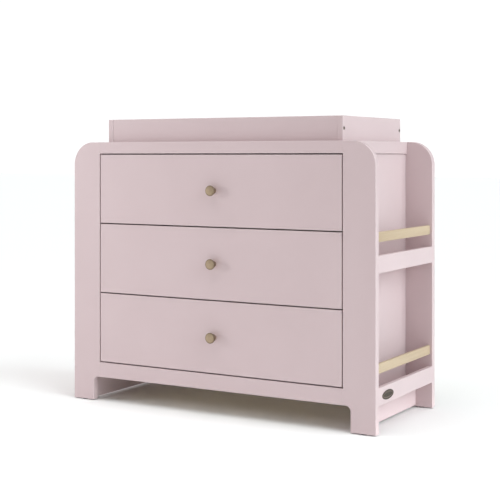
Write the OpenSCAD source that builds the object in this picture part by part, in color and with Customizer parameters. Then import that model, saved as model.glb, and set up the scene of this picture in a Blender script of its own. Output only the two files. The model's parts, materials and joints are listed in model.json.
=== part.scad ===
// Nursery dresser with three drawers, a changing tray on top and an open shelf bay at each end.
// Millimetres, +Z up, front toward -Y. The origin is on the floor, at the middle of the overall
// depth (knobs included) and width.

/* [Overall] */
// Width across the outer edges of the corner stiles
width = 1110; // [1060:1:1300]
// Depth from the front frame's face to the rear frame's back
depth = 465.3; // [450:0.1:560]
// Height of the dresser's top surface above the floor
dresser_h = 863; // [820:1:1000]

/* [Frames] */
// Width of a corner stile
stile_w = 106.2; // [100:0.1:130]
// Thickness of the front and rear frames
frame_t = 22; // [20:0.5:30]
// Radius of a stile's outer top corner
corner_r = 75; // [20:1:90]
// Height of the top rails
top_rail_h = 37.4; // [30:0.1:60]
// Height of the bottom rails
bottom_rail_h = 49.3; // [40:0.1:70]
// Height of the cut-out between the legs, above the floor
cutout_h = 80.7; // [70:0.1:110]
// Width of a leg beside the cut-out
leg_w = 81.3; // [70:0.1:95]
// Radius of the cut-out's upper corners
cutout_r = 16; // [5:1:30]

/* [Carcass] */
// Thickness of the carcass side panels
side_t = 14.7; // [12:0.1:18]
// Thickness of the top board
top_board_t = 38.5; // [25:0.5:45]
// How far the top board stands proud of the side panels
top_overhang = 4; // [0:0.5:8]
// Thickness of the back panel
back_t = 5; // [3:0.5:8]
// Thickness of the bottom panel
bottom_t = 12; // [9:1:15]
// Height of the bottom panel's upper face above the floor
bottom_panel_z = 120; // [112:1:125]

/* [Shelf bays] */
// Thickness of a bay shelf
shelf_t = 15; // [12:1:18]
// Height of the lower shelves' underside above the floor
lower_shelf_z = 85.7; // [82:0.1:110]
// Height of the upper shelves' underside above the floor
upper_shelf_z = 473.3; // [420:0.1:520]
// Thickness of a shelf apron
apron_t = 15; // [10:1:18]
// Height of a shelf apron
apron_h = 52; // [40:1:70]
// Height of a guard rail
rail_h = 30; // [20:1:40]
// Thickness of a guard rail
rail_t = 10; // [8:1:15]
// How far a guard rail sits in from the outer edge
rail_inset = 8; // [0:1:15]
// Gap between an apron and the guard rail above it
rail_gap = 38; // [25:1:60]
// Distance from the outer edge to a base panel's outer face
base_inset = 56.8; // [40:0.1:65]
// Thickness of a base panel
base_t = 15; // [12:1:18]
// Gap between a base panel and the floor
base_gap = 7.4; // [4:0.1:15]

/* [Badge and glides] */
// Length of the oval badge
badge_w = 80; // [40:1:90]
// Height of the oval badge
badge_h = 28; // [20:1:36]
// Thickness of the badge at its rim
badge_t = 1.5; // [1:0.1:3]
// Distance from the front frame's face to the badge's centre
badge_y = 87; // [70:1:380]
// Height of the badge's centre above the apron's lower edge
badge_z = 24; // [20:0.5:32]
// Height of a floor glide
glide_h = 3; // [2:0.5:5]
// Radius of a floor glide
glide_r = 10; // [6:0.5:11]

/* [Drawers] */
// Gap round each drawer front
drawer_gap = 4; // [2:0.1:5]
// Thickness of a drawer front
drawer_front_t = 18; // [15:0.5:20]
// Length of a drawer's sides
drawer_l = 400; // [350:10:400]
// Height of a drawer's sides
drawer_side_h = 160; // [100:5:180]
// Thickness of a drawer's sides and back
drawer_side_t = 12; // [10:1:15]
// Thickness of a drawer's bottom board
drawer_bottom_t = 4; // [3:0.5:6]
// Depth of the grooves that hold the bottom board
groove_d = 6; // [4:0.5:7]
// Height of the bottom board above the sides' lower edges
groove_z = 10; // [8:1:15]
// Height of the sides' lower edges above the front's lower edge
drawer_lift = 20; // [15:1:30]

/* [Knobs] */
// How far a knob stands out of the drawer front
knob_out = 26; // [20:1:32]
// Radius of a knob's cap
knob_r = 16.8; // [12:0.1:20]
// Thickness of a knob's cap, in front of its cone
knob_cap_t = 5; // [4:0.5:8]
// Radius of a knob's foot
knob_foot_r = 9; // [8:0.5:12]

/* [Runners] */
// Side clearance between a drawer and the carcass
runner_space = 12.5; // [12.5:0.1:13]
// Sheet thickness of the runner profiles
runner_t = 1.2; // [1:0.1:1.2]
// Radius of the rollers
roller_r = 8.5; // [8:0.1:8.5]
// Width of the rollers
roller_w = 6; // [5:0.5:6]
// Radius of the roller axles
axle_r = 2.5; // [2:0.1:3]

/* [Changing tray] */
// Height of the tray's sides
tray_h = 75.6; // [60:0.1:100]
// Width of the tray, outside
tray_w = 868.9; // [840:0.1:900]
// Distance from the front frame's face to the tray's front
tray_setback = 31; // [25:1:60]
// Thickness of the tray's end boards
tray_end_t = 17; // [15:1:20]
// Thickness of the tray's front and rear boards
tray_rail_t = 12; // [12:1:15]
// How far the long boards sit in from the ends' edges
tray_recess = 2; // [1:0.5:6]

/* [Wall strap] */
// Distance between the two wall strap holes
strap_spacing = 400; // [200:10:600]
// Radius of the wall strap holes
strap_hole_r = 2.5; // [2:0.1:4]
// How far the holes run on into the top board
strap_hole_d = 28; // [10:1:40]

/* [Hidden] */
$fn = 64;
eps = 1;
pink = [0.90, 0.79, 0.80];
bare_board = [0.86, 0.80, 0.70];
natural_wood = [0.85, 0.74, 0.58];
champagne = [0.66, 0.58, 0.42];
bronze = [0.42, 0.36, 0.30];
steel = [0.75, 0.76, 0.78];
nylon = [0.93, 0.93, 0.90];
dark_plastic = [0.25, 0.23, 0.22];

// Planes along Y: faces of the two frames
front_y = (knob_out - depth) / 2;
front_back_y = front_y + frame_t;
rear_y = front_y + depth;
rear_front_y = rear_y - frame_t;

// Planes along X, for the right half
outer_x = width / 2;
inner_x = outer_x - stile_w;
side_x = inner_x + side_t;
leg_x = outer_x - leg_w;
base_x = outer_x - base_inset;
tray_x = tray_w / 2;
tray_in_x = tray_x - tray_end_t;

// Heights
opening_z0 = cutout_h + bottom_rail_h;
opening_z1 = dresser_h - top_rail_h;
drawer_pitch = (opening_z1 - opening_z0 - drawer_gap) / 3;
drawer_front_h = drawer_pitch - drawer_gap;
top_under_z = dresser_h - top_board_t;
tray_y0 = front_y + tray_setback;
tray_board_y0 = tray_y0 + tray_recess;
tray_board_y1 = rear_y - tray_recess;

// Drawer box
drawer_x = inner_x - runner_space;
drawer_y0 = front_y + drawer_front_t;
drawer_y1 = drawer_y0 + drawer_l;
bottom_x = drawer_x - drawer_side_t + groove_d;
knob_hole_r = 2.3;

// Runner section, measured up from the channel's underside and in from the side panel
channel_w = 10.2;
roller_s = 3;
drop = 0.2;
gap = 0.3;
cab_roller_z = 10.5;
flange_z = cab_roller_z + roller_r + gap;
lip_gap = 0.4;
channel_h = flange_z + 2 * runner_t + lip_gap;
drawer_roller_z = runner_t + gap + roller_r;
runner_setback = 2;
runner_y0 = front_back_y + runner_setback;
cab_roller_inset = 11;
cab_roller_y = runner_y0 + cab_roller_inset;
drawer_roller_inset = 9.5;
drawer_roller_y = drawer_y1 - drawer_roller_inset;
runner_drop = 1;
angle_setback = 1;
under_leg = 11;
axle_end = 0.4;
axle_fit = 0.05;
screw_r = 1.75;
screw_fit = 0.25;
runner_screw_inset = [60, 330];
runner_screw_grip = 11;

// Tray fixings
bolt_head_r = 5.5;
bolt_head_h = 3;
bolt_r = 3;
bolt_l = 50;
bolt_fit = 0.1;
bolt_head_fit = 0.2;
bolt_y = [tray_board_y0 + tray_rail_t / 2, tray_board_y1 - tray_rail_t / 2];
bolt_z = dresser_h + tray_h / 2;
bracket_leg = 20;
bracket_w = 30;
bracket_t = 2;
bracket_inset = 110;
bracket_y = [tray_y0 + bracket_inset, rear_y - bracket_inset];
// Middle of a bracket leg's free part, where its screw goes
bracket_mid = (bracket_leg + bracket_t) / 2;

// Drawers are numbered from the bottom
bottom_drawer = 0;
middle_drawer = 1;
top_drawer = 2;

function front_z(i) = opening_z0 + drawer_gap + i * drawer_pitch;
function box_z(i) = front_z(i) + drawer_lift;
function runner_z(i) = box_z(i) - runner_drop;

// A board between two opposite corners
module board(lo, hi) {
    translate(lo) cube(hi - lo);
}

// The child on the right, and its mirror image on the left
module both_sides() {
    children();
    mirror([1, 0, 0]) children();
}

// A round bar along X, from x0 to x1
module bar_x(x0, x1, y, z, r) {
    translate([x0, y, z]) rotate([0, 90, 0]) cylinder(h = x1 - x0, r = r);
}

// A round bar along Y, from y0 to y1
module bar_y(x, y0, y1, z, r) {
    translate([x, y0, z]) rotate([-90, 0, 0]) cylinder(h = y1 - y0, r = r);
}

// ---- Frames ----

// Outline of the right stile with its leg, seen from the front
module stile_shape() {
    difference() {
        union() {
            translate([inner_x, glide_h]) square([stile_w, dresser_h - corner_r - glide_h]);
            translate([inner_x, dresser_h - corner_r - eps]) square([stile_w - corner_r, corner_r + eps]);
            intersection() {
                translate([outer_x - corner_r, dresser_h - corner_r]) circle(corner_r, $fn = 128);
                translate([outer_x - corner_r - eps, dresser_h - corner_r]) square(corner_r + eps);
            }
        }
        translate([inner_x - eps, 0]) square([leg_x - inner_x + eps - cutout_r, cutout_h]);
        translate([inner_x - eps, 0]) square([leg_x - inner_x + eps, cutout_h - cutout_r]);
        translate([leg_x - cutout_r, cutout_h - cutout_r]) circle(cutout_r);
    }
}

module right_stile(y0) {
    translate([0, y0 + frame_t, 0]) rotate([90, 0, 0]) linear_extrude(frame_t) stile_shape();
}

module front_right_stile() {
    color(pink) right_stile(front_y);
}

module front_left_stile() {
    color(pink) mirror([1, 0, 0]) right_stile(front_y);
}

module rear_right_stile() {
    color(pink) right_stile(rear_front_y);
}

module rear_left_stile() {
    color(pink) mirror([1, 0, 0]) right_stile(rear_front_y);
}

module front_top_rail() {
    color(pink) board([-inner_x, front_y, opening_z1], [inner_x, front_back_y, dresser_h]);
}

module front_bottom_rail() {
    color(pink) board([-inner_x, front_y, cutout_h], [inner_x, front_back_y, opening_z0]);
}

// Right-hand hole for a wall strap's screw, between two planes
module strap_hole(y0, y1) {
    bar_y(strap_spacing / 2, y0, y1, dresser_h - top_rail_h / 2, strap_hole_r);
}

// The rear top rail, drilled for the two screws of a wall strap
module rear_top_rail() {
    color(pink) difference() {
        board([-inner_x, rear_front_y, opening_z1], [inner_x, rear_y, dresser_h]);
        both_sides() strap_hole(rear_front_y - eps, rear_y + eps);
    }
}

module rear_bottom_rail() {
    color(pink) board([-inner_x, rear_front_y, cutout_h], [inner_x, rear_y, opening_z0]);
}

// ---- Carcass ----

module right_panel() {
    board([inner_x, front_back_y, lower_shelf_z], [side_x, rear_front_y, top_under_z]);
}

module right_side_panel() {
    color(pink) right_panel();
}

module left_side_panel() {
    color(pink) mirror([1, 0, 0]) right_panel();
}

module back_panel() {
    color(bare_board) board([-inner_x, rear_front_y - back_t, bottom_panel_z - bottom_t],
        [inner_x, rear_front_y, top_under_z]);
}

module bottom_panel() {
    color(bare_board) board([-inner_x, front_back_y, bottom_panel_z - bottom_t],
        [inner_x, rear_front_y - back_t, bottom_panel_z]);
}

// The top board; the wall strap's screws run on into its rear edge
module top_board() {
    top_x = side_x + top_overhang;
    color(pink) difference() {
        board([-top_x, front_back_y, top_under_z], [top_x, rear_front_y, dresser_h]);
        both_sides() strap_hole(rear_front_y - strap_hole_d, rear_front_y + eps);
    }
}

// ---- Shelf bays ----

module bay_shelf(z) {
    board([side_x, front_back_y, z], [outer_x - apron_t, rear_front_y, z + shelf_t]);
}

module apron(z) {
    board([outer_x - apron_t, front_back_y, z], [outer_x, rear_front_y, z + apron_h]);
}

module guard_rail(z) {
    rail_x = outer_x - rail_inset;
    rail_z = z + apron_h + rail_gap;
    board([rail_x - rail_t, front_back_y, rail_z], [rail_x, rear_front_y, rail_z + rail_h]);
}

module base_panel() {
    board([base_x - base_t, front_back_y, base_gap], [base_x, rear_front_y, lower_shelf_z]);
}

module upper_bay_shelves() {
    color(pink) both_sides() bay_shelf(upper_shelf_z);
}

module lower_bay_shelves() {
    color(pink) both_sides() bay_shelf(lower_shelf_z);
}

module right_upper_apron() {
    color(pink) apron(upper_shelf_z);
}

module left_upper_apron() {
    color(pink) mirror([1, 0, 0]) apron(upper_shelf_z);
}

module right_lower_apron() {
    color(pink) apron(lower_shelf_z);
}

module left_lower_apron() {
    color(pink) mirror([1, 0, 0]) apron(lower_shelf_z);
}

module right_upper_guard_rail() {
    color(natural_wood) guard_rail(upper_shelf_z);
}

module left_upper_guard_rail() {
    color(natural_wood) mirror([1, 0, 0]) guard_rail(upper_shelf_z);
}

module right_lower_guard_rail() {
    color(natural_wood) guard_rail(lower_shelf_z);
}

module left_lower_guard_rail() {
    color(natural_wood) mirror([1, 0, 0]) guard_rail(lower_shelf_z);
}

module right_base_panel() {
    color(pink) base_panel();
}

module left_base_panel() {
    color(pink) mirror([1, 0, 0]) base_panel();
}

// ---- Badge and glides ----

function oval(w, h, steps) =
    [for (a = [0 : 360 / steps : 359]) [w / 2 * cos(a), h / 2 * sin(a)]];

// Oval plate on the right lower apron's outer face, with a raised rim round a plain field
module badge() {
    rim = 2;
    dish = 0.5;
    steps = 60;
    color(bronze) translate([outer_x, front_y + badge_y, lower_shelf_z + badge_z])
        rotate([90, 0, 90]) difference() {
            linear_extrude(badge_t) polygon(oval(badge_w, badge_h, steps));
            translate([0, 0, badge_t - dish])
                linear_extrude(badge_t) polygon(oval(badge_w - 2 * rim, badge_h - 2 * rim, steps));
        }
}

module glides() {
    glide_x = outer_x - leg_w / 2;
    nail_l = 15;
    nail_r = 1.5;
    color(dark_plastic) both_sides()
        for (y = [front_y + frame_t / 2, rear_y - frame_t / 2]) translate([glide_x, y, 0]) {
            cylinder(h = glide_h, r1 = glide_r - 1, r2 = glide_r);
            cylinder(h = glide_h + nail_l, r = nail_r);
        }
}

// ---- Runners ----

// Right-hand channel of one drawer, with the axle of its front roller
module channel(i) {
    z = runner_z(i);
    y1 = runner_y0 + drawer_l;
    web_x = inner_x - runner_t;
    lip_x = inner_x - channel_w;
    difference() {
        union() {
            board([web_x, runner_y0, z], [inner_x, y1, z + channel_h]);
            board([lip_x, runner_y0, z], [inner_x, y1, z + runner_t]);
            board([lip_x, runner_y0, z + channel_h - runner_t], [inner_x, y1, z + channel_h]);
            bar_x(lip_x + axle_end, web_x, cab_roller_y, z + cab_roller_z, axle_r);
        }
        for (d = runner_screw_inset)
            bar_x(web_x - eps, inner_x + eps, runner_y0 + d, z + channel_h / 2, screw_r + screw_fit);
    }
}

module cabinet_runners() {
    color(steel) both_sides()
        for (i = [bottom_drawer : top_drawer]) channel(i);
}

module runner_screws() {
    head_r = 3.5;
    head_h = 1;
    web_x = inner_x - runner_t;
    color(steel) both_sides()
        for (i = [bottom_drawer : top_drawer]) for (d = runner_screw_inset) {
            screw_z = runner_z(i) + channel_h / 2;
            bar_x(web_x - head_h, web_x, runner_y0 + d, screw_z, head_r);
            bar_x(web_x, inner_x + runner_screw_grip, runner_y0 + d, screw_z, screw_r);
        }
}

// Right-hand angle that wraps the drawer side's lower edge, with the axle of its rear roller
module drawer_angle(i) {
    z = runner_z(i);
    y0 = drawer_y0 + angle_setback;
    leg_out = drawer_x + runner_t;
    flange_x = inner_x - roller_s;
    board([drawer_x, y0, z - drop], [leg_out, drawer_y1, z + flange_z + runner_t]);
    board([drawer_x - under_leg, y0, z - drop], [leg_out, drawer_y1, z + runner_drop]);
    board([drawer_x, y0, z + flange_z], [flange_x, drawer_y1, z + flange_z + runner_t]);
    bar_x(leg_out, flange_x + axle_end, drawer_roller_y, z + drawer_roller_z, axle_r);
}

// Pair of rollers on one line across the cabinet
module roller_pair(y, z) {
    x1 = inner_x - roller_s;
    both_sides() difference() {
        bar_x(x1 - roller_w, x1, y, z, roller_r);
        bar_x(x1 - roller_w - eps, x1 + eps, y, z, axle_r + axle_fit);
    }
}

module cabinet_rollers(i) {
    color(nylon) roller_pair(cab_roller_y, runner_z(i) + cab_roller_z);
}

module drawer_rollers(i) {
    color(nylon) roller_pair(drawer_roller_y, runner_z(i) + drawer_roller_z);
}

// ---- Drawers ----

// Slab front with a groove for the bottom board and a hole for the knob's screw
module drawer_front(i) {
    x = inner_x - drawer_gap;
    z = front_z(i);
    groove = box_z(i) + groove_z;
    color(pink) difference() {
        board([-x, front_y, z], [x, drawer_y0, z + drawer_front_h]);
        board([-bottom_x, drawer_y0 - groove_d, groove],
            [bottom_x, drawer_y0 + eps, groove + drawer_bottom_t]);
        bar_y(0, front_y - eps, drawer_y0 + eps, z + drawer_front_h / 2, knob_hole_r);
    }
}

module drawer_side(i) {
    z = box_z(i);
    groove = z + groove_z;
    in_x = drawer_x - drawer_side_t;
    difference() {
        board([in_x, drawer_y0, z], [drawer_x, drawer_y1, z + drawer_side_h]);
        board([in_x - eps, drawer_y0 - eps, groove],
            [bottom_x, drawer_y1 + eps, groove + drawer_bottom_t]);
    }
}

module drawer_sides(i) {
    color(bare_board) both_sides() drawer_side(i);
}

// The back stands on the bottom board, between the sides
module drawer_back(i) {
    in_x = drawer_x - drawer_side_t;
    z = box_z(i);
    color(bare_board) board([-in_x, drawer_y1 - drawer_side_t, z + groove_z + drawer_bottom_t],
        [in_x, drawer_y1, z + drawer_side_h]);
}

module drawer_bottom(i) {
    z = box_z(i) + groove_z;
    color(bare_board) board([-bottom_x, drawer_y0 - groove_d, z],
        [bottom_x, drawer_y1, z + drawer_bottom_t]);
}

module drawer_runners(i) {
    color(steel) both_sides() drawer_angle(i);
}

// Quarter round of radius r, from pointing outward to pointing up, with its centre at (x, h)
function quarter(x, h, r) = [for (a = [0 : 15 : 90]) [x + r * cos(a), h + r * sin(a)]];

// Turned knob, bored for its screw: a cone from the foot out to a cap with a rounded rim
module knob_body() {
    rim = 2;
    dome = 0.7;
    bore_r = 2.1;
    bore_d = 15;
    rotate([90, 0, 0]) rotate_extrude() polygon(concat(
        [
            [bore_r, 0],
            [knob_foot_r, 0],
            [knob_r, knob_out - knob_cap_t]
        ],
        quarter(knob_r - rim, knob_out - dome - rim, rim),
        [
            [knob_r / 2, knob_out - dome / 4],
            [0, knob_out],
            [0, bore_d],
            [bore_r, bore_d]
        ]
    ));
}

// Knob on the drawer front, with the screw that holds it from inside
module drawer_knob(i) {
    shank_r = 2;
    head_r = 4.5;
    head_h = 2.5;
    grip = 13;
    z = front_z(i) + drawer_front_h / 2;
    color(champagne) {
        translate([0, front_y, z]) knob_body();
        bar_y(0, front_y - grip, drawer_y0, z, shank_r);
        bar_y(0, drawer_y0, drawer_y0 + head_h, z, head_r);
    }
}

module top_drawer_front() { drawer_front(top_drawer); }
module top_drawer_sides() { drawer_sides(top_drawer); }
module top_drawer_back() { drawer_back(top_drawer); }
module top_drawer_bottom() { drawer_bottom(top_drawer); }
module top_drawer_runners() { drawer_runners(top_drawer); }
module top_drawer_knob() { drawer_knob(top_drawer); }
module top_drawer_rollers() { drawer_rollers(top_drawer); }
module top_cabinet_rollers() { cabinet_rollers(top_drawer); }

module middle_drawer_front() { drawer_front(middle_drawer); }
module middle_drawer_sides() { drawer_sides(middle_drawer); }
module middle_drawer_back() { drawer_back(middle_drawer); }
module middle_drawer_bottom() { drawer_bottom(middle_drawer); }
module middle_drawer_runners() { drawer_runners(middle_drawer); }
module middle_drawer_knob() { drawer_knob(middle_drawer); }
module middle_drawer_rollers() { drawer_rollers(middle_drawer); }
module middle_cabinet_rollers() { cabinet_rollers(middle_drawer); }

module bottom_drawer_front() { drawer_front(bottom_drawer); }
module bottom_drawer_sides() { drawer_sides(bottom_drawer); }
module bottom_drawer_back() { drawer_back(bottom_drawer); }
module bottom_drawer_bottom() { drawer_bottom(bottom_drawer); }
module bottom_drawer_runners() { drawer_runners(bottom_drawer); }
module bottom_drawer_knob() { drawer_knob(bottom_drawer); }
module bottom_drawer_rollers() { drawer_rollers(bottom_drawer); }
module bottom_cabinet_rollers() { cabinet_rollers(bottom_drawer); }

// ---- Changing tray ----

// One of the tray's two long boards, bored at both ends for the corner bolts
module tray_rail(y0) {
    y = y0 + tray_rail_t / 2;
    color(pink) difference() {
        board([-tray_in_x, y0, dresser_h], [tray_in_x, y0 + tray_rail_t, dresser_h + tray_h]);
        both_sides()
            bar_x(tray_x - bolt_l - eps, tray_x, y, bolt_z, bolt_r + bolt_fit);
    }
}

module topper_front_rail() {
    tray_rail(tray_board_y0);
}

module topper_rear_rail() {
    tray_rail(tray_board_y1 - tray_rail_t);
}

// Right end of the tray, counterbored for the two bolt heads
module tray_end() {
    difference() {
        board([tray_in_x, tray_y0, dresser_h], [tray_x, rear_y, dresser_h + tray_h]);
        for (y = bolt_y) {
            bar_x(tray_in_x - eps, tray_x + eps, y, bolt_z, bolt_r + bolt_fit);
            bar_x(tray_x - bolt_head_h, tray_x + eps, y, bolt_z, bolt_head_r + bolt_head_fit);
        }
    }
}

module topper_right_end() {
    color(pink) tray_end();
}

module topper_left_end() {
    color(pink) mirror([1, 0, 0]) tray_end();
}

// Corner bolts with a hexagon socket in each head
module topper_bolts() {
    socket_r = 2.6;
    socket_d = 2;
    color(bronze) both_sides() for (y = bolt_y) difference() {
        union() {
            bar_x(tray_x - bolt_head_h, tray_x, y, bolt_z, bolt_head_r);
            bar_x(tray_x - bolt_l, tray_x - bolt_head_h, y, bolt_z, bolt_r);
        }
        translate([tray_x - socket_d, y, bolt_z]) rotate([0, 90, 0])
            cylinder(h = socket_d + eps, r = socket_r, $fn = 6);
    }
}

// Steel angles inside the tray that hold its ends down on the top board
module topper_brackets() {
    hole_r = 2.2;
    color(steel) both_sides() for (y = bracket_y) difference() {
        union() {
            board([tray_in_x - bracket_t, y - bracket_w / 2, dresser_h],
                [tray_in_x, y + bracket_w / 2, dresser_h + bracket_leg]);
            board([tray_in_x - bracket_leg, y - bracket_w / 2, dresser_h],
                [tray_in_x, y + bracket_w / 2, dresser_h + bracket_t]);
        }
        bar_x(tray_in_x - bracket_leg - eps, tray_in_x + eps, y, dresser_h + bracket_mid, hole_r);
        translate([tray_in_x - bracket_mid, y, dresser_h - eps])
            cylinder(h = bracket_t + 2 * eps, r = hole_r);
    }
}

module topper_screws() {
    head_r = 3.8;
    head_h = 1.6;
    shank = 13;
    color(steel) both_sides() for (y = bracket_y) {
        face_x = tray_in_x - bracket_t;
        bar_x(face_x - head_h, face_x, y, dresser_h + bracket_mid, head_r);
        bar_x(face_x, face_x + shank, y, dresser_h + bracket_mid, screw_r);
        translate([tray_in_x - bracket_mid, y, dresser_h + bracket_t]) {
            cylinder(h = head_h, r = head_r);
            translate([0, 0, -shank]) cylinder(h = shank, r = screw_r);
        }
    }
}

front_left_stile();
front_right_stile();
front_top_rail();
front_bottom_rail();
rear_left_stile();
rear_right_stile();
rear_top_rail();
rear_bottom_rail();
left_side_panel();
right_side_panel();
back_panel();
bottom_panel();
top_board();
left_base_panel();
right_base_panel();
upper_bay_shelves();
lower_bay_shelves();
left_upper_apron();
left_lower_apron();
right_upper_apron();
right_lower_apron();
left_upper_guard_rail();
left_lower_guard_rail();
right_upper_guard_rail();
right_lower_guard_rail();
badge();
glides();
cabinet_runners();
runner_screws();
topper_front_rail();
topper_rear_rail();
topper_left_end();
topper_right_end();
topper_bolts();
topper_brackets();
topper_screws();
top_drawer_front();
top_drawer_sides();
top_drawer_back();
top_drawer_bottom();
top_drawer_runners();
top_drawer_knob();
top_drawer_rollers();
top_cabinet_rollers();
middle_drawer_front();
middle_drawer_sides();
middle_drawer_back();
middle_drawer_bottom();
middle_drawer_runners();
middle_drawer_knob();
middle_drawer_rollers();
middle_cabinet_rollers();
bottom_drawer_front();
bottom_drawer_sides();
bottom_drawer_back();
bottom_drawer_bottom();
bottom_drawer_runners();
bottom_drawer_knob();
bottom_drawer_rollers();
bottom_cabinet_rollers();
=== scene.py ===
"""Looks of a nursery dresser with a changing tray.

Eased boards in painted and natural wood, with turned, cast and bent fittings.
"""
import json
import math

import bmesh
import bpy
from mathutils import Matrix, Vector

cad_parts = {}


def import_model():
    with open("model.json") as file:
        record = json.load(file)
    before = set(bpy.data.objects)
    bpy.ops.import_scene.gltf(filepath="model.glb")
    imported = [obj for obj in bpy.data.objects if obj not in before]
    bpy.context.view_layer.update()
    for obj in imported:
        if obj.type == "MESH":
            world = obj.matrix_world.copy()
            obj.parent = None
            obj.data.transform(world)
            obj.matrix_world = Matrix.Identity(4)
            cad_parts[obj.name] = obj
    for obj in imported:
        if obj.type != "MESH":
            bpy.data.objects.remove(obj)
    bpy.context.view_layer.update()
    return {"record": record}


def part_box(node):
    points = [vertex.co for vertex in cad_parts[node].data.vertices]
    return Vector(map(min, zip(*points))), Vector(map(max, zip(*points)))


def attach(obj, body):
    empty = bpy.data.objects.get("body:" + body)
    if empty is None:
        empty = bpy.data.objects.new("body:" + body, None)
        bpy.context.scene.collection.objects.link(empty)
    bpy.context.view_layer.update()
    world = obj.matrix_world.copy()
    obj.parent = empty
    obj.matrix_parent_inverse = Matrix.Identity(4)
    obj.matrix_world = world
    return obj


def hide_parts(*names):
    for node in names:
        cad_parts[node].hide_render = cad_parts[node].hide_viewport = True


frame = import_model()

MM = 0.001
RECORD = frame["record"]
BODY_OF = {node: body for body, nodes in RECORD["behaviour"]["bodies"].items() for node in nodes}
SLOT_OF = {part["node"]: part["material_slot"] for part in RECORD["subparts"]}
DRAWERS = ("bottom", "middle", "top")

# Edge radii, in metres. The seam's is for edges where two boards meet flush.
BOARD_EASE = 1.4 * MM
SEAM_EASE = 0.5 * MM
RAIL_EASE = 2.6 * MM
SIDES_EASE = 1 * MM
THIN_EASE = 0.5 * MM

# Height and depth of the shadow gap under the top board, in metres
SHADOW_GAP_H = 1.9 * MM
SHADOW_GAP_D = 6 * MM

# How far a cutter runs past the face it cuts, in metres
PAST = 1 * MM

# Points closer than these are the same, are welded, or leave a sliver, in metres
SAME = 1e-6
WELD = 1e-7
SLIVER = 1e-8

# A normal whose part along an axis is above this points along that axis
SQUARE = 0.9999

# Shape of the stiles, in metres
CORNER_R = 75 * MM
CUTOUT_R = 16 * MM
LEG_W = 81.3 * MM

# Fittings, in metres
SHEET = 1.2 * MM
CHANNEL_W = 10.2 * MM
CHANNEL_H = 22.1 * MM
CHANNEL_DROP = 1 * MM
AXLE_R = 2.5 * MM
SCREW_R = 1.75 * MM
SCREW_FIT = 0.25 * MM
RUNNER_SCREW_INSETS = (60 * MM, 330 * MM)
BOLT_HEAD_R = 5.5 * MM
BOLT_HEAD_H = 3 * MM
BOLT_FIT = 0.2 * MM
BRACKET_LEG = 20 * MM
BRACKET_W = 30 * MM
BRACKET_T = 2 * MM


# ---- Materials ----

class Nodes:
    """A material under construction: makes nodes and links them to its Principled shader."""

    def __init__(self, name):
        self.material = bpy.data.materials.new(name)
        self.material.use_nodes = True
        self.tree = self.material.node_tree
        self.shader = self.tree.nodes["Principled BSDF"]
        self.coords = self.node("ShaderNodeTexCoord").outputs["Object"]

    def node(self, kind, **values):
        """A new node. Each value sets the node's own property, or else the input of that name."""
        made = self.tree.nodes.new(kind)
        for key, value in values.items():
            if hasattr(made, key):
                setattr(made, key, value)
            else:
                made.inputs[key.replace("_", " ").title()].default_value = value
        return made

    def link(self, source, target):
        self.tree.links.new(source, target)

    def stretched(self, scale):
        """The object's own coordinates, scaled along each axis."""
        mapping = self.node("ShaderNodeMapping")
        mapping.inputs["Scale"].default_value = scale
        self.link(self.coords, mapping.inputs["Vector"])
        return mapping.outputs["Vector"]

    def noise(self, scale, detail=3.0, roughness=0.5, vector=None, distortion=0.0):
        """Noise over the object's own coordinates, or over the vector."""
        made = self.node("ShaderNodeTexNoise", scale=scale, detail=detail, roughness=roughness,
                         distortion=distortion)
        self.link(self.coords if vector is None else vector, made.inputs["Vector"])
        return made.outputs["Fac"]

    def ramp(self, source, stops):
        """A colour ramp with the given (position, colour) stops."""
        made = self.node("ShaderNodeValToRGB")
        elements = made.color_ramp.elements
        while len(elements) < len(stops):
            elements.new(0.5)
        for element, (position, colour) in zip(elements, stops):
            element.position = position
            element.color = (*colour, 1.0)
        self.link(source, made.inputs["Fac"])
        return made.outputs["Color"]

    def span(self, source, low, high, from_low=0.0, from_high=1.0):
        """Maps source from one range to another."""
        made = self.node("ShaderNodeMapRange")
        ends = {"From Min": from_low, "From Max": from_high, "To Min": low, "To Max": high}
        for key, value in ends.items():
            made.inputs[key].default_value = value
        self.link(source, made.inputs["Value"])
        return made.outputs["Result"]

    def mix(self, factor, first, second):
        """Mixes two colours; each may be an output or a plain colour."""
        made = self.node("ShaderNodeMix")
        made.data_type = "RGBA"
        for key, value in ((0, factor), (6, first), (7, second)):
            if isinstance(value, bpy.types.NodeSocket):
                self.link(value, made.inputs[key])
            elif isinstance(value, (int, float)):
                made.inputs[key].default_value = value
            else:
                made.inputs[key].default_value = (*value, 1.0)
        return made.outputs[2]

    def maths(self, operation, first, second):
        """Arithmetic on two values; each may be an output or a number."""
        made = self.node("ShaderNodeMath")
        made.operation = operation
        for key, value in ((0, first), (1, second)):
            if isinstance(value, bpy.types.NodeSocket):
                self.link(value, made.inputs[key])
            else:
                made.inputs[key].default_value = value
        return made.outputs[0]

    def eased(self):
        """1 on the rounded edges of a board, 0 on its faces."""
        return self.node("ShaderNodeAttribute", attribute_name="eased").outputs["Fac"]

    def finish(self, colour, roughness, bumps=(), **constants):
        """Links colour and roughness, stacks the (height, strength, distance) bumps and sets
        the constants."""
        self.link(colour, self.shader.inputs["Base Color"])
        self.link(roughness, self.shader.inputs["Roughness"])
        normal = None
        for height, strength, distance in bumps:
            bump = self.node("ShaderNodeBump")
            bump.inputs["Strength"].default_value = strength
            bump.inputs["Distance"].default_value = distance
            self.link(height, bump.inputs["Height"])
            if normal is not None:
                self.link(normal, bump.inputs["Normal"])
            normal = bump.outputs["Normal"]
        if normal is not None:
            self.link(normal, self.shader.inputs["Normal"])
        for key, value in constants.items():
            self.shader.inputs[key.replace("_", " ")].default_value = value
        return self.material


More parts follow.
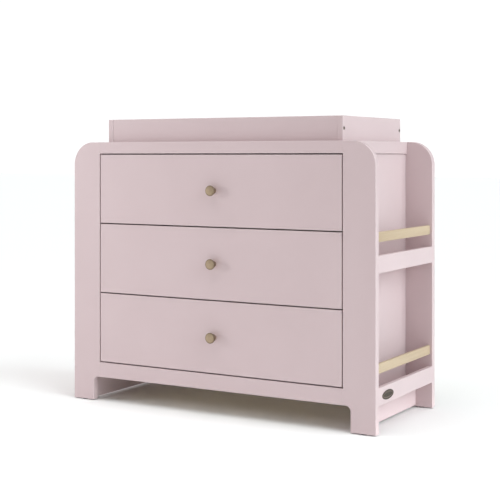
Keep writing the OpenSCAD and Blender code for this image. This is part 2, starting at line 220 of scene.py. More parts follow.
def painted_wood():
    """Satin blush lacquer: orange peel, faint cloudiness, edges rubbed a little paler."""
    n = Nodes("blush_paint")
    base, cloudy, rubbed = (0.600, 0.468, 0.480), (0.620, 0.487, 0.500), (0.68, 0.56, 0.57)
    colour = n.mix(n.span(n.noise(4.0, 4.0), 0.0, 1.0, 0.3, 0.7), base, cloudy)
    chips = n.maths("MULTIPLY", n.eased(), n.span(n.noise(90.0, 4.0), 0.15, 0.75, 0.35, 0.65))
    colour = n.mix(chips, colour, rubbed)
    fine = n.noise(1400.0, 2.0)
    roughness = n.maths("ADD", n.span(n.noise(9.0, 4.0), 0.36, 0.46), n.span(fine, -0.03, 0.03))
    peel = n.noise(420.0, 2.0, 0.4)
    return n.finish(colour, roughness, [(peel, 0.10, 0.0006), (fine, 0.05, 0.0002)],
                    Coat_Weight=0.12, Coat_Roughness=0.3)


def natural_wood():
    """Pale beech under matte lacquer, its grain along Y."""
    n = Nodes("pale_beech")
    along = n.stretched((55.0, 2.2, 55.0))
    rings = n.noise(1.0, 5.0, 0.6, along, 0.6)
    colour = n.ramp(rings, [(0.25, (0.41, 0.30, 0.19)), (0.5, (0.495, 0.375, 0.255)),
                            (0.75, (0.555, 0.435, 0.305))])
    flecks = n.noise(1.0, 2.0, 0.5, n.stretched((900.0, 45.0, 900.0)))
    dark = n.span(flecks, 0.0, 1.0, 0.62, 0.72)
    colour = n.mix(n.maths("MULTIPLY", dark, 0.5), colour, (0.32, 0.22, 0.13))
    colour = n.mix(n.maths("MULTIPLY", n.eased(), 0.25), colour, (0.61, 0.49, 0.36))
    roughness = n.span(rings, 0.42, 0.58)
    return n.finish(colour, roughness, [(rings, 0.12, 0.0006), (flecks, 0.18, 0.0003)])


def drawer_board():
    """Light birch-faced board of the drawer boxes, its grain level."""
    n = Nodes("birch_board")
    grain = n.noise(1.0, 5.0, 0.6, n.stretched((9.0, 9.0, 120.0)), 0.4)
    colour = n.ramp(grain, [(0.25, (0.58, 0.455, 0.31)), (0.5, (0.68, 0.56, 0.41)),
                            (0.78, (0.735, 0.625, 0.48))])
    fibres = n.noise(1.0, 2.0, 0.5, n.stretched((60.0, 60.0, 1500.0)))
    colour = n.mix(n.span(fibres, 0.0, 0.22, 0.45, 0.75), colour, (0.47, 0.35, 0.22))
    colour = n.mix(n.maths("MULTIPLY", n.eased(), 0.3), colour, (0.56, 0.42, 0.27))
    roughness = n.span(grain, 0.48, 0.62)
    return n.finish(colour, roughness, [(grain, 0.08, 0.0005), (fibres, 0.12, 0.0002)])


def brushed_metal(name, dark, light, low, high, ring_scale):
    """Turned and brushed metal with fine concentric tool marks about its own Y axis, and painted
    shade that darkens it toward the rim.
    """
    n = Nodes(name)
    split = n.node("ShaderNodeSeparateXYZ")
    n.link(n.node("ShaderNodeTexCoord").outputs["Generated"], split.inputs["Vector"])
    x = n.maths("SUBTRACT", split.outputs["X"], 0.5)
    z = n.maths("SUBTRACT", split.outputs["Z"], 0.5)
    squares = [n.maths("MULTIPLY", part, part) for part in (x, z)]
    radius = n.maths("SQRT", n.maths("ADD", *squares), 0.0)
    rings = n.node("ShaderNodeTexNoise", scale=ring_scale, detail=3.0)
    rings.noise_dimensions = "1D"
    n.link(radius, rings.inputs["W"])
    tint = n.noise(160.0, 3.0)
    colour = n.mix(n.span(tint, 0.0, 1.0, 0.3, 0.7), dark, light)
    # Painted shade: the colour darkens toward the cap's rim and flank, standing in for the shade
    # that falls there
    rim = n.span(radius, 0.0, 0.75, 0.37, 0.47)
    colour = n.mix(rim, colour, tuple(c * 0.45 for c in dark))
    roughness = n.span(rings.outputs["Fac"], low, high)
    return n.finish(colour, roughness,
                    [(rings.outputs["Fac"], 0.12, 0.0002), (tint, 0.03, 0.0002)], Metallic=1.0)


def cast_metal(name, dark, light, low, high):
    """Metal with a mottled patina, rubbed paler where it is eased."""
    n = Nodes(name)
    patina = n.noise(240.0, 5.0, 0.6)
    colour = n.mix(n.span(patina, 0.0, 1.0, 0.35, 0.65), dark, light)
    rubbed = tuple(min(1.0, c * 2.3) for c in light)
    colour = n.mix(n.maths("MULTIPLY", n.eased(), 0.7), colour, rubbed)
    grit = n.noise(1800.0, 2.0)
    return n.finish(colour, n.span(patina, low, high),
                    [(patina, 0.10, 0.0003), (grit, 0.10, 0.0001)], Metallic=1.0)


def moulded(name, dark, light, low, high):
    """Moulded plastic or powder coat: fine grain and a slight change of shade."""
    n = Nodes(name)
    shade = n.noise(35.0, 3.0)
    pores = n.noise(900.0, 2.0)
    colour = n.mix(shade, dark, light)
    rubbed = tuple(min(1.0, c * 1.15) for c in light)
    colour = n.mix(n.maths("MULTIPLY", n.eased(), 0.35), colour, rubbed)
    return n.finish(colour, n.span(shade, low, high), [(pores, 0.12, 0.0002)])


MATERIALS = {
    "painted_wood": painted_wood(),
    "natural_wood": natural_wood(),
    "bare_board": drawer_board(),
    "champagne_metal": brushed_metal("champagne_metal", (0.385, 0.29, 0.20), (0.44, 0.335, 0.235),
                                     0.34, 0.50, 60.0),
    "bronze": cast_metal("aged_bronze", (0.055, 0.042, 0.032), (0.10, 0.078, 0.06), 0.30, 0.45),
    "bronze_bolt": cast_metal("bolt_bronze", (0.16, 0.12, 0.085), (0.24, 0.19, 0.14), 0.32, 0.45),
    "runner_steel": moulded("epoxy_white", (0.76, 0.76, 0.74), (0.81, 0.81, 0.79), 0.34, 0.46),
    "zinc_screw": cast_metal("zinc", (0.55, 0.56, 0.57), (0.68, 0.69, 0.70), 0.25, 0.38),
    "nylon": moulded("nylon", (0.78, 0.78, 0.74), (0.84, 0.84, 0.80), 0.38, 0.50),
    "dark_plastic": moulded("dark_plastic", (0.04, 0.035, 0.032), (0.06, 0.055, 0.05), 0.45, 0.60),
}


# ---- Mesh helpers ----

def new_piece(name, bm):
    """A new object in the scene, with this mesh."""
    mesh = bpy.data.meshes.new(name)
    bm.to_mesh(mesh)
    bm.free()
    piece = bpy.data.objects.new(name, mesh)
    bpy.context.scene.collection.objects.link(piece)
    return piece


def apply_modifiers(piece):
    """Makes what the piece's modifiers give its own mesh."""
    graph = bpy.context.evaluated_depsgraph_get()
    mesh = bpy.data.meshes.new_from_object(piece.evaluated_get(graph))
    piece.modifiers.clear()
    piece.data = mesh


def ease(piece, width, segments=3):
    """Rounds the edges by their bevel weight times width, and marks the new faces as eased."""
    piece.data.materials.append(None)
    piece.data.materials.append(None)
    bevel = piece.modifiers.new("ease", "BEVEL")
    bevel.width = width
    bevel.segments = segments
    bevel.limit_method = "WEIGHT"
    bevel.material = 1
    apply_modifiers(piece)
    mesh = piece.data
    mask = mesh.attributes.new("eased", "FLOAT", "FACE")
    for polygon in mesh.polygons:
        eased = polygon.material_index == 1
        mask.data[polygon.index].value = float(eased)
        polygon.material_index = 0
        polygon.use_smooth = eased or max(abs(part) for part in polygon.normal) < SQUARE
    mesh.materials.clear()


def stands_for(piece, *nodes):
    """Puts the piece on the body of these CAD nodes, in their place and with their finish."""
    slot = SLOT_OF[nodes[0]]
    piece.data.materials.append(MATERIALS[slot])
    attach(piece, BODY_OF[nodes[0]])
    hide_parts(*nodes)
    return piece


def weigh_edges(bm, weight_of):
    """Stores each edge's share of the easing width."""
    layer = bm.edges.layers.float.new("bevel_weight_edge")
    for edge in bm.edges:
        edge[layer] = weight_of(edge)


def box_mesh(lo, hi):
    """The mesh of a box between two corners."""
    bm = bmesh.new()
    bmesh.ops.create_cube(bm, size=1.0)
    size = [h - l for l, h in zip(lo, hi)]
    centre = [(h + l) / 2 for l, h in zip(lo, hi)]
    place = Matrix.Translation(centre) @ Matrix.Diagonal((*size, 1.0))
    bmesh.ops.transform(bm, matrix=place, verts=bm.verts)
    return bm


def eased_box(name, lo, hi, width=BOARD_EASE, seams=""):
    """A board between two corners. seams names the faces that meet another board flush:
    x for the low-X face, X for the high-X one, and so on. Edges round them are eased less."""
    bm = box_mesh(lo, hi)
    seam_normals = [Vector([(1 if c.isupper() else -1) * (axis == c.lower()) for axis in "xyz"])
                    for c in seams]

    def weight(edge):
        at_seam = any(face.normal.dot(n) > SQUARE for face in edge.link_faces for n in seam_normals)
        return SEAM_EASE / width if at_seam and width > SEAM_EASE else 1.0

    bm.normal_update()
    weigh_edges(bm, weight)
    piece = new_piece(name, bm)
    ease(piece, width)
    return piece


def board(node, width=BOARD_EASE, seams=""):
    """The eased board that stands for a box-shaped CAD node."""
    lo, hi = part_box(node)
    return stands_for(eased_box(node + "_board", lo, hi, width, seams), node)


def mirrored_boards(node, inner_x, width=BOARD_EASE):
    """One piece of two boards that run from inner_x to the CAD node's end on each side."""
    lo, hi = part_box(node)
    halves = []
    for side in (-1, 1):
        x0, x1 = sorted((side * inner_x, side * hi.x))
        halves.append(eased_box(f"{node}_{side}", (x0, lo.y, lo.z), (x1, hi.y, hi.z), width))
    return joined(node + "_boards", halves)


def joined(name, pieces):
    """One piece from several, keeping their attributes."""
    with bpy.context.temp_override(active_object=pieces[0], selected_editable_objects=pieces):
        bpy.ops.object.join()
    pieces[0].name = name
    pieces[0].data.name = name
    return pieces[0]


def drill(piece, cutters):
    """Cuts the closed meshes in cutters out of the piece."""
    for cutter in cutters:
        cut = piece.modifiers.new("cut", "BOOLEAN")
        cut.operation = "DIFFERENCE"
        cut.solver = "EXACT"
        cut.object = cutter
    apply_modifiers(piece)
    for cutter in cutters:
        bpy.data.objects.remove(cutter)


def rod(name, start, end, radius, sides=48):
    """A closed cylinder between two points."""
    bm = bmesh.new()
    start, end = Vector(start), Vector(end)
    axis = end - start
    bmesh.ops.create_cone(bm, cap_ends=True, segments=sides, radius1=radius, radius2=radius,
                          depth=axis.length)
    turn = axis.to_track_quat("Z", "Y").to_matrix().to_4x4()
    bmesh.ops.transform(bm, matrix=Matrix.Translation((start + end) / 2) @ turn, verts=bm.verts)
    return new_piece(name, bm)


def crisp(piece, angle=32):
    """Smooth shading, with the edges sharper than this many degrees kept sharp."""
    for polygon in piece.data.polygons:
        polygon.use_smooth = True
    piece.data.set_sharp_from_angle(angle=math.radians(angle))
    return piece


def lathe(name, profile, steps=64):
    """Turns a profile of (radius, height) points about Z."""
    bm = bmesh.new()
    rings = []
    for i in range(steps):
        angle = 2 * math.pi * i / steps
        cos, sin = math.cos(angle), math.sin(angle)
        rings.append([bm.verts.new((r * cos, r * sin, h)) for r, h in profile])
    for i in range(steps):
        here, there = rings[i], rings[(i + 1) % steps]
        for j in range(len(profile) - 1):
            bm.faces.new((here[j], there[j], there[j + 1], here[j + 1]))
    bmesh.ops.remove_doubles(bm, verts=bm.verts, dist=WELD)
    bmesh.ops.dissolve_degenerate(bm, edges=bm.edges, dist=SLIVER)
    bmesh.ops.recalc_face_normals(bm, faces=bm.faces)
    return crisp(new_piece(name, bm))


def placing(origin, axis, turn=0.0):
    """Matrix that puts Z along axis at origin, after a turn about Z in degrees."""
    along = Vector(axis).to_track_quat("Z", "Y").to_matrix().to_4x4()
    return Matrix.Translation(origin) @ along @ Matrix.Rotation(math.radians(turn), 4, "Z")


def repeated(name, master, places):
    """One piece with a copy of the master's mesh at each place; the master is removed."""
    bm = bmesh.new()
    for place in places:
        first = len(bm.verts)
        bm.from_mesh(master.data)
        bm.verts.ensure_lookup_table()
        bmesh.ops.transform(bm, matrix=place, verts=bm.verts[first:])
    bpy.data.objects.remove(master)
    return new_piece(name, bm)


def rounded(points, radii, steps=4):
    """A closed outline with its corners rounded by the given radii."""
    outline = []
    count = len(points)
    for i, (point, radius) in enumerate(zip(points, radii)):
        here = Vector(point)
        before = (Vector(points[i - 1]) - here).normalized()
        after = (Vector(points[(i + 1) % count]) - here).normalized()
        if radius == 0:
            outline.append(tuple(here))
            continue
        first, last = here + before * radius, here + after * radius
        centre = here + (before + after) * radius
        for k in range(steps + 1):
            turn = k / steps * math.pi / 2
            offset = (first - centre) * math.cos(turn) + (last - centre) * math.sin(turn)
            outline.append(tuple(centre + offset))
    return outline


def extruded_mesh(outline, y0, y1):
    """The mesh of a closed (x, z) outline drawn out along Y."""
    bm = bmesh.new()
    rows = [[bm.verts.new((x, y, z)) for x, z in outline] for y in (y0, y1)]
    count = len(outline)
    for i in range(count):
        j = (i + 1) % count
        bm.faces.new((rows[0][i], rows[0][j], rows[1][j], rows[1][i]))
    for row in rows:
        bm.faces.new(row)
    bmesh.ops.recalc_face_normals(bm, faces=bm.faces)
    return bm


def extruded(name, outline, y0, y1):
    """A piece of sheet metal: a closed (x, z) outline drawn out along Y."""
    return crisp(new_piece(name, extruded_mesh(outline, y0, y1)), 20)


def block(name, lo, hi):
    """A plain closed box, used as a cutter."""
    return new_piece(name, box_mesh(lo, hi))


def cross_head(radius, height, shank_r, shank_l):
    """A pan-head screw along -Z, its head standing on z = 0, with a cross recess."""
    profile = [(0, height), (radius * 0.5, height * 0.97), (radius * 0.78, height * 0.82),
               (radius * 0.93, height * 0.56), (radius, height * 0.25), (radius, 0), (shank_r, 0),
               (shank_r, -shank_l + shank_r), (0, -shank_l)]
    screw = lathe("screw", profile, 32)
    long, wide, deep = radius * 0.56, radius * 0.13, height * 0.45
    drill(screw, [block("slot", (-long, -wide, height - deep), (long, wide, height + deep)),
                  block("slot", (-wide, -long, height - deep), (wide, long, height + deep))])
    return crisp(screw)


def centre_yz(node):
    """Middle of a CAD node's box, along Y and along Z."""
    lo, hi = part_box(node)
    return (lo.y + hi.y) / 2, (lo.z + hi.z) / 2


def arc(cx, cz, radius, start, end, steps):
    """Points round an arc, angles in degrees."""
    angles = [math.radians(start + (end - start) * i / steps) for i in range(steps + 1)]
    return [(cx + radius * math.cos(a), cz + radius * math.sin(a)) for a in angles]


# ---- Frames ----

def stile(node):
    """A stile with its leg: rounded outer top corner, rounded corner of the cut-out beside the leg.
    It is drawn as the right-hand one and mirrored for the left."""
    lo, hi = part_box(node)
    side = 1 if lo.x + hi.x > 0 else -1
    inner = min(abs(lo.x), abs(hi.x))
    outer = max(abs(lo.x), abs(hi.x))
    cut_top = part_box("front_bottom_rail")[0].z
    opening_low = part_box("front_bottom_rail")[1].z
    opening_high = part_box("front_top_rail")[0].z
    leg = outer - LEG_W
    outline = [(leg, lo.z), (outer, lo.z)]
    outline += arc(outer - CORNER_R, hi.z - CORNER_R, CORNER_R, 0, 90, steps=40)
    outline += [(inner, hi.z), (inner, opening_high), (inner, opening_low), (inner, cut_top)]
    outline += arc(leg - CUTOUT_R, cut_top - CUTOUT_R, CUTOUT_R, 90, 0, steps=14)
    bm = extruded_mesh([(side * x, z) for x, z in outline], lo.y, hi.y)
    bm.normal_update()

    def weight(edge):
        a, b = (v.co for v in edge.verts)
        if abs(a.y - b.y) > SAME:
            return 1.0 if edge.calc_face_angle() > math.radians(30) else 0.0
        at_inner = all(abs(abs(end.x) - inner) < SAME for end in (a, b))
        middle = (a.z + b.z) / 2
        seam = at_inner and not opening_low < middle < opening_high
        return SEAM_EASE / BOARD_EASE if seam else 1.0

    weigh_edges(bm, weight)
    piece = new_piece(node + "_board", bm)
    ease(piece, BOARD_EASE)
    return stands_for(piece, node)


for face in ("front", "rear"):
    for hand in ("left", "right"):
        stile(f"{face}_{hand}_stile")
    for height in ("top", "bottom"):
        if (face, height) != ("rear", "top"):
            board(f"{face}_{height}_rail", seams="xX")

lo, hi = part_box("rear_top_rail")
rear_rail = eased_box("rear_top_rail_board", lo, hi, seams="xX")
STRAP = RECORD["mounts"][-1]["dims"]
STRAP_SPACING = STRAP["spacing_x_mm"] * MM
STRAP_R = STRAP["hole_r_mm"] * MM
strap_z = (lo.z + hi.z) / 2
drill(rear_rail, [rod("strap_hole", (s * STRAP_SPACING / 2, lo.y - PAST, strap_z),
                      (s * STRAP_SPACING / 2, hi.y + PAST, strap_z), STRAP_R) for s in (-1, 1)])
stands_for(rear_rail, "rear_top_rail")

# ---- Carcass ----

board("top_board", seams="yY")
for hand in ("left", "right"):
    node = f"{hand}_side_panel"
    lo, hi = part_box(node)
    panel = eased_box(node + "_board", lo, hi)
    # A shadow gap runs under the top board on the outer face
    outer, inward = (hi.x, -1) if lo.x > 0 else (lo.x, 1)
    x0, x1 = sorted((outer - inward * PAST, outer + inward * SHADOW_GAP_D))
    drill(panel, [block("shadow_gap", (x0, lo.y - PAST, hi.z - SHADOW_GAP_H),
                        (x1, hi.y + PAST, hi.z + PAST))])
    stands_for(panel, node)
    board(f"{hand}_base_panel")
board("back_panel", THIN_EASE)
board("bottom_panel", THIN_EASE)

# ---- Shelf bays ----

for level in ("upper", "lower"):
    node = f"{level}_bay_shelves"
    stands_for(mirrored_boards(node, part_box("right_side_panel")[1].x), node)
    for hand in ("left", "right"):
        board(f"{hand}_{level}_apron", seams="yY")
        board(f"{hand}_{level}_guard_rail", RAIL_EASE)

# ---- Drawers ----

for drawer in DRAWERS:
    board(f"{drawer}_drawer_front")
    board(f"{drawer}_drawer_back", THIN_EASE)
    board(f"{drawer}_drawer_bottom", THIN_EASE)
    node = f"{drawer}_drawer_sides"
    lo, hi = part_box(node)
    sides = mirrored_boards(node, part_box(f"{drawer}_drawer_back")[1].x, SIDES_EASE)
    floor_lo, floor_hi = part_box(f"{drawer}_drawer_bottom")
    drill(sides, [block("groove", (floor_lo.x, lo.y - PAST, floor_lo.z),
                        (floor_hi.x, hi.y + PAST, floor_hi.z))])
    stands_for(sides, node)

# ---- Changing tray ----

for end in ("front", "rear"):
    board(f"topper_{end}_rail", seams="xXz")
bolt_ys = [centre_yz(f"topper_{end}_rail")[0] for end in ("front", "rear")]
bolts_lo, bolts_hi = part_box("topper_bolts")
bolt_z = (bolts_lo.z + bolts_hi.z) / 2
for hand, side in (("left", -1), ("right", 1)):
    node = f"topper_{hand}_end"
    lo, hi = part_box(node)
    end_board = eased_box(node + "_board", lo, hi, seams="z")
    seat, mouth = side * (bolts_hi.x - BOLT_HEAD_H), side * (bolts_hi.x + PAST)
    drill(end_board, [rod("counterbore", (seat, y, bolt_z), (mouth, y, bolt_z),
                          BOLT_HEAD_R + BOLT_FIT) for y in bolt_ys])
    stands_for(end_board, node)

# ---- Fittings ----

def bolts():
    """Corner bolts with a chamfered head and a hexagon socket."""
    shank_r, shank_l, edge = 3 * MM, 47 * MM, 0.6 * MM
    socket_r, socket_d = 2.6 * MM, 2 * MM
    profile = [(0, 0), (BOLT_HEAD_R - edge, 0), (BOLT_HEAD_R - edge / 3, -edge / 3),
               (BOLT_HEAD_R, -edge), (BOLT_HEAD_R, -BOLT_HEAD_H), (shank_r, -BOLT_HEAD_H),
               (shank_r, edge - BOLT_HEAD_H - shank_l), (0, -BOLT_HEAD_H - shank_l)]
    bolt = lathe("bolt", profile)
    drill(bolt, [rod("socket", (0, 0, -socket_d), (0, 0, PAST), socket_r, sides=6)])
    places = [placing((side * bolts_hi.x, y, bolt_z), (side, 0, 0))
              for side in (-1, 1) for y in bolt_ys]
    stands_for(crisp(repeated("corner_bolts", bolt, places)), "topper_bolts")


def brackets():
    """Steel angles with a rounded bend, rounded corners and two holes."""
    inner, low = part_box("topper_right_end")[0].x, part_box("topper_right_end")[0].z
    lo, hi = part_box("topper_brackets")
    middle = (BRACKET_LEG + BRACKET_T) / 2
    ys = (lo.y + BRACKET_W / 2, hi.y - BRACKET_W / 2)
    bend, crease, lips = 2.6 * MM, 1 * MM, 0.6 * MM
    outline = rounded([(0, 0), (-BRACKET_LEG, 0), (-BRACKET_LEG, BRACKET_T),
                       (-BRACKET_T, BRACKET_T), (-BRACKET_T, BRACKET_LEG), (0, BRACKET_LEG)],
                      [bend, lips, lips, crease, lips, lips])
    bracket = extruded("bracket", outline, -BRACKET_W / 2, BRACKET_W / 2)
    hole_r, clear = 2.2 * MM, BRACKET_LEG + PAST
    drill(bracket, [rod("hole", (-clear, 0, middle), (PAST, 0, middle), hole_r),
                    rod("hole", (-middle, 0, -PAST), (-middle, 0, clear), hole_r)])
    places = [Matrix.Translation((side * inner, y, low))
              @ Matrix.Rotation(0 if side > 0 else math.pi, 4, "Z") for side in (-1, 1) for y in ys]
    stands_for(crisp(repeated("tray_angles", bracket, places), 20), "topper_brackets")

    head_r, head_h, shank = 3.8 * MM, 1.6 * MM, 13 * MM
    screw = cross_head(head_r, head_h, SCREW_R, shank)
    # The recesses stop at different turns, in degrees
    places = []
    for side in (-1, 1):
        for i, y in enumerate(ys):
            in_end = (side * (inner - BRACKET_T), y, low + middle)
            in_top = (side * (inner - middle), y, low + BRACKET_T)
            places += [placing(in_end, (-side, 0, 0), 17 + 29 * i),
                       placing(in_top, (0, 0, 1), 40 - 23 * i)]
    stands_for(crisp(repeated("tray_screws", screw, places)), "topper_screws")


def knob(drawer):
    """Turned knob: a cone from the foot to a cap with a rounded rim and a ringed, slightly
    domed face. The screw's head shows inside the drawer."""
    node = f"{drawer}_drawer_knob"
    lo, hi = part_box(node)
    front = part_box(f"{drawer}_drawer_front")[0].y
    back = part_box(f"{drawer}_drawer_front")[1].y
    out, cap_r = front - lo.y, (hi.x - lo.x) / 2
    z = (lo.z + hi.z) / 2
    foot_r, cap_t, rim, dome = 9 * MM, 5 * MM, 2 * MM, 0.7 * MM
    bead, groove, ring = 1.2 * MM, 0.35 * MM, 3.4 * MM
    slope, floor, step, rise = 0.3 * MM, 0.6 * MM, 0.9 * MM, 0.12 * MM
    neck, swell, rings = 2 * MM, 0.1 * MM, 5
    edge = out - dome
    taper = (cap_r - foot_r) / (out - cap_t)
    profile = [(0, 0), (foot_r - groove, 0), (foot_r, groove), (foot_r, bead),
               (foot_r - groove, bead + groove), (foot_r + taper * neck, neck + groove),
               (cap_r - taper * MM - groove, out - cap_t - MM),
               (cap_r - 2 * groove, out - cap_t - groove),
               (cap_r - groove, out - cap_t + swell), (cap_r, out - cap_t + groove)]
    profile += arc(cap_r - rim, edge - rim, rim, 0, 84, steps=9)
    face_r = cap_r - ring - step
    profile += [(cap_r - ring + slope, edge), (cap_r - ring, edge - groove),
                (cap_r - ring - floor, edge - groove), (face_r, edge + rise)]
    for k in range(1, rings + 1):
        share = 1 - k / rings
        profile.append((face_r * share, edge + rise + (dome - rise) * (1 - share ** 2)))
    body = lathe("knob_body", profile, 96)
    body.data.transform(placing((0, front, z), (0, -1, 0)))
    screw = cross_head(4.5 * MM, 2.5 * MM, 2 * MM, back - front + 13 * MM)
    screw.data.transform(placing((0, back, z), (0, 1, 0), 22))
    stands_for(joined(f"{drawer}_knob", [body, screw]), node)


def badge():
    """Oval plate with a raised rounded rim, a sunk field and a plain raised oval in its middle."""
    lo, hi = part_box("badge")
    half_w, half_h, thick = (hi.y - lo.y) / 2, (hi.z - lo.z) / 2, hi.x - lo.x
    # Distance in from the edge and height above the apron, in mm
    full_height = 1.5
    rings = [(0, 0), (0, 0.9), (0.15, 1.25), (0.5, 1.46), (0.9, full_height), (1.3, 1.46),
             (1.7, 1.25), (2.0, 0.85), (2.4, 0.8), (3.6, 0.8), (6.4, 0.8), (6.7, 0.95), (7.1, 1.1),
             (7.5, 1.1), (7.9, 0.95), (8.2, 0.85), (10.5, 0.95), (13.0, 1.0)]
    steps = 96
    angles = [2 * math.pi * i / steps for i in range(steps)]
    bm = bmesh.new()
    rows = []
    for inset, height in rings:
        a, b, x = half_w - inset * MM, half_h - inset * MM, height / full_height * thick
        rows.append([bm.verts.new((x, a * math.cos(t), b * math.sin(t))) for t in angles])
    for here, there in zip(rows, rows[1:]):
        for i in range(steps):
            j = (i + 1) % steps
            bm.faces.new((here[i], here[j], there[j], there[i]))
    bm.faces.new(rows[0])
    bm.faces.new(rows[-1])
    bmesh.ops.recalc_face_normals(bm, faces=bm.faces)
    plate = crisp(new_piece("oval_badge", bm), 50)
    # Bands of faces from the sunk field's middle over the ridge inside it, which are rubbed paler
    rubbed_from, rubbed_to = 9, 13
    mask = plate.data.attributes.new("eased", "FLOAT", "FACE")
    for polygon in plate.data.polygons:
        mask.data[polygon.index].value = float(rubbed_from <= polygon.index // steps <= rubbed_to)
    plate.data.transform(Matrix.Translation((lo.x, *centre_yz("badge"))))
    stands_for(plate, "badge")


def glides():
    """Round glides with a rounded edge, a sunk nail head and the nail."""
    lo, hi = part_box("glides")
    r, thick, nail_r, point = 10 * MM, 3 * MM, 1.5 * MM, 1 * MM
    profile = [(0, 0.9 * MM), (2.2 * MM, 0.9 * MM), (2.6 * MM, 0.6 * MM), (3.2 * MM, 0.05 * MM),
               (3.6 * MM, 0), (r - 1.6 * MM, 0), (r - 0.8 * MM, 0.3 * MM), (r - 0.2 * MM, MM),
               (r, 2 * MM), (r, thick), (nail_r, thick), (nail_r, hi.z - point), (0, hi.z)]
    places = [Matrix.Translation((x, y, lo.z))
              for x in (lo.x + r, hi.x - r) for y in (lo.y + r, hi.y - r)]
    stands_for(crisp(repeated("leg_glides", lathe("glide", profile), places)), "glides")


def rollers(node):
    """Rollers with a hub and a sunk web."""
    lo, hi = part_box(node)
    radius, wide = (hi.z - lo.z) / 2, 6 * MM
    # Radius and height of one half of the section, in mm
    drawn_r = 8.5
    half = [(2.55, 0.3), (2.85, 0), (4.2, 0), (4.5, 0.3), (4.6, 1.2), (7.0, 1.2), (7.2, 0.3),
            (7.5, 0), (8.1, 0), (8.4, 0.15), (drawn_r, 0.5)]
    profile = [(r * MM, h * MM) for r, h in half]
    profile += [(r, wide - h) for r, h in reversed(profile)]
    profile.append(profile[0])
    wheel = lathe("roller", profile)
    wheel.data.transform(Matrix.Scale(radius / (drawn_r * MM), 4))
    places = [placing((side * (hi.x - wide), *centre_yz(node)), (side, 0, 0)) for side in (-1, 1)]
    stands_for(crisp(repeated(node + "_pair", wheel, places)), node)


def axle(x0, x1, y, z, side, head_t):
    """Axle pin from x0 out to x1 with a riveted head at x1, on the given side."""
    head_r = 3.5 * MM
    length = abs(x1 - x0)
    profile = [(0, 0), (AXLE_R, 0), (AXLE_R, length - head_t), (head_r, length - head_t),
               (head_r, length - head_t * 0.6), (head_r * 0.8, length - head_t * 0.1), (0, length)]
    pin = lathe("axle", profile, 32)
    pin.data.transform(placing((side * x0, y, z), (side * (1 if x1 > x0 else -1), 0, 0)))
    return pin


def channel_z(drawer):
    """Underside of a drawer's channels, a little lower than the drawer's box."""
    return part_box(f"{drawer}_drawer_sides")[0].z - CHANNEL_DROP


def cabinet_runners():
    """Bent channels screwed to the side panels, each with the axle of its front roller."""
    lo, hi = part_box("cabinet_runners")
    lip, web = hi.x - CHANNEL_W, hi.x - SHEET
    bend, crease, lips = 1.5 * MM, 0.5 * MM, 0.4 * MM
    sunk, head_t = 0.4 * MM, 0.7 * MM
    pieces = []
    for drawer in DRAWERS:
        z0 = channel_z(drawer)
        z1 = z0 + CHANNEL_H
        middle = (z0 + z1) / 2
        corners = [(lip, z0), (hi.x, z0), (hi.x, z1), (lip, z1), (lip, z1 - SHEET),
                   (web, z1 - SHEET), (web, z0 + SHEET), (lip, z0 + SHEET)]
        outline = rounded(corners, [lips, bend, bend, lips, lips, crease, crease, lips])
        for side in (-1, 1):
            rail = extruded("channel", [(side * x, z) for x, z in outline], lo.y, hi.y)
            from_x, to_x = side * (lip - PAST), side * (hi.x + PAST)
            drill(rail, [rod("hole", (from_x, lo.y + inset, middle), (to_x, lo.y + inset, middle),
                             SCREW_R + SCREW_FIT, 24) for inset in RUNNER_SCREW_INSETS])
            y, z = centre_yz(f"{drawer}_cabinet_rollers")
            pieces += [crisp(rail, 20), axle(web, lip + sunk, y, z, side, head_t)]
    stands_for(joined("runner_channels", pieces), "cabinet_runners")


def runner_screws():
    """Pan-head screws that hold the channels to the side panels."""
    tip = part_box("runner_screws")[1].x
    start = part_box("cabinet_runners")[0].y
    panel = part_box("right_side_panel")[0].x
    head_r, head_h = 3.5 * MM, 1 * MM
    screw = cross_head(head_r, head_h, SCREW_R, tip - panel + SHEET)
    # The recesses stop at different turns, in degrees
    places = []
    for i, drawer in enumerate(DRAWERS):
        z = channel_z(drawer) + CHANNEL_H / 2
        for side in (-1, 1):
            for inset in RUNNER_SCREW_INSETS:
                seat = (side * (panel - SHEET), start + inset, z)
                places.append(placing(seat, (-side, 0, 0), 13 + 31 * i + 20 * side))
    stands_for(crisp(repeated("channel_screws", screw, places)), "runner_screws")


def drawer_runners(drawer):
    """Bent angles under the drawer's sides, each with the axle of its rear roller."""
    node = f"{drawer}_drawer_runners"
    lo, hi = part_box(node)
    sides_lo, sides_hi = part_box(f"{drawer}_drawer_sides")
    foot_w, axle_proud, head_t = 11 * MM, 0.4 * MM, 0.3 * MM
    bend, crease, lips = 1.1 * MM, 0.3 * MM, 0.4 * MM
    web, under = sides_hi.x, sides_hi.x - foot_w
    flange = hi.x - axle_proud
    corners = [(under, lo.z), (web + SHEET, lo.z), (web + SHEET, hi.z - SHEET),
               (flange, hi.z - SHEET), (flange, hi.z), (web, hi.z), (web, sides_lo.z),
               (under, sides_lo.z)]
    outline = rounded(corners, [lips, bend, crease, lips, lips, bend, crease, lips])
    y, z = centre_yz(f"{drawer}_drawer_rollers")
    pieces = []
    for side in (-1, 1):
        rail = extruded("angle", [(side * x, z) for x, z in outline], lo.y, hi.y)
        pieces += [rail, axle(web + SHEET, hi.x, y, z, side, head_t)]
    stands_for(joined(f"{drawer}_drawer_angles", pieces), node)


bolts()
brackets()
badge()
glides()
cabinet_runners()
runner_screws()
for drawer in DRAWERS:
    knob(drawer)
    drawer_runners(drawer)
    rollers(f"{drawer}_cabinet_rollers")
    rollers(f"{drawer}_drawer_rollers")

# ---- Stage, lights and camera ----

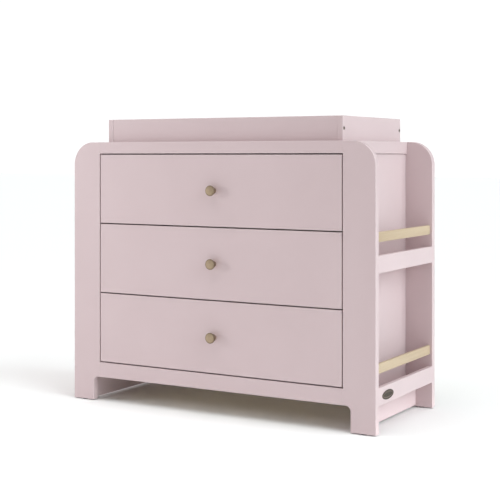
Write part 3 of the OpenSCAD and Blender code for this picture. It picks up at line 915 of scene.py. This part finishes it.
def stage():
    """A wide white floor."""
    half = 40.0
    bm = bmesh.new()
    bm.faces.new([bm.verts.new((x * half, y * half, 0.0))
                  for x, y in ((-1, -1), (1, -1), (1, 1), (-1, 1))])
    floor = new_piece("studio_floor", bm)
    n = Nodes("studio_floor")
    colour = n.mix(n.noise(1.5, 2.0), (0.955, 0.95, 0.948), (0.965, 0.96, 0.958))
    floor.data.materials.append(n.finish(colour, n.span(n.noise(20.0), 0.75, 0.85)))


def world(strength, seen_strength):
    """Even white surroundings: full white to the camera, dimmer as a light."""
    made = bpy.data.worlds.new("studio")
    bpy.context.scene.world = made
    made.use_nodes = True
    nodes, links = made.node_tree.nodes, made.node_tree.links
    seen = nodes.new("ShaderNodeBackground")
    seen.inputs["Color"].default_value = (1, 1, 1, 1)
    seen.inputs["Strength"].default_value = seen_strength
    lit = nodes["Background"]
    lit.inputs["Color"].default_value = (1, 0.99, 0.98, 1)
    lit.inputs["Strength"].default_value = strength
    path = nodes.new("ShaderNodeLightPath")
    mixer = nodes.new("ShaderNodeMixShader")
    links.new(path.outputs["Is Camera Ray"], mixer.inputs["Fac"])
    links.new(lit.outputs["Background"], mixer.inputs[1])
    links.new(seen.outputs["Background"], mixer.inputs[2])
    links.new(mixer.outputs["Shader"], nodes["World Output"].inputs["Surface"])


def hang(light, location, target):
    """Puts a light in the scene, aimed at the target."""
    lamp = bpy.data.objects.new(light.name, light)
    bpy.context.scene.collection.objects.link(lamp)
    lamp.location = location
    lamp.rotation_euler = (Vector(target) - lamp.location).to_track_quat("-Z", "Y").to_euler()


def softbox(name, location, target, size, power, spread=180):
    """A rectangular lamp, its beam narrowed to the spread in degrees."""
    light = bpy.data.lights.new(name, "AREA")
    light.shape = "RECTANGLE"
    light.size, light.size_y = size
    light.energy = power
    light.spread = math.radians(spread)
    hang(light, location, target)


def sun(name, direction, strength, spread, colour=(1, 1, 1)):
    """A far light from the given direction, its spread in degrees."""
    light = bpy.data.lights.new(name, "SUN")
    light.energy = strength
    light.angle = math.radians(spread)
    light.color = colour
    distance = 5
    hang(light, Vector(direction) * distance, (0, 0, 0))


def camera():
    """Level camera to the right of the front, its picture moved up and across by the lens shift.
    Its place and heading were fitted to the photo's two vanishing points, and the shift was
    then trimmed against the outline."""
    data = bpy.data.cameras.new("camera")
    data.lens = 85
    data.sensor_width = 36
    data.shift_x, data.shift_y = 0.0005, -0.187
    seen = bpy.data.objects.new("camera", data)
    bpy.context.scene.collection.objects.link(seen)
    seen.location = (1.9679, -3.36835, 0.8157)
    seen.rotation_euler = (math.radians(90), 0, math.radians(30.26))
    bpy.context.scene.camera = seen


stage()
world(strength=0.195, seen_strength=1.05)
sun("right_light", direction=(0.92, -0.07, 0.385), strength=2.72, spread=58,
    colour=(0.89, 1.0, 1.01))
sun("top_light", direction=(-0.05, -0.15, 1.0), strength=1.9, spread=60)
softbox("left_key", location=(-3.2, -2.0, 1.2), target=(0, -0.2, 0.6), size=(0.8, 0.8), power=34)
# A narrow beam stands in for the light that the floor throws back at the right end
softbox("low_fill", location=(2.6, 0.0, 0.05), target=(0.5, 0.0, -0.05), size=(1.2, 0.06),
        power=0.3, spread=7)
camera()
bpy.context.scene.view_settings.view_transform = "Standard"
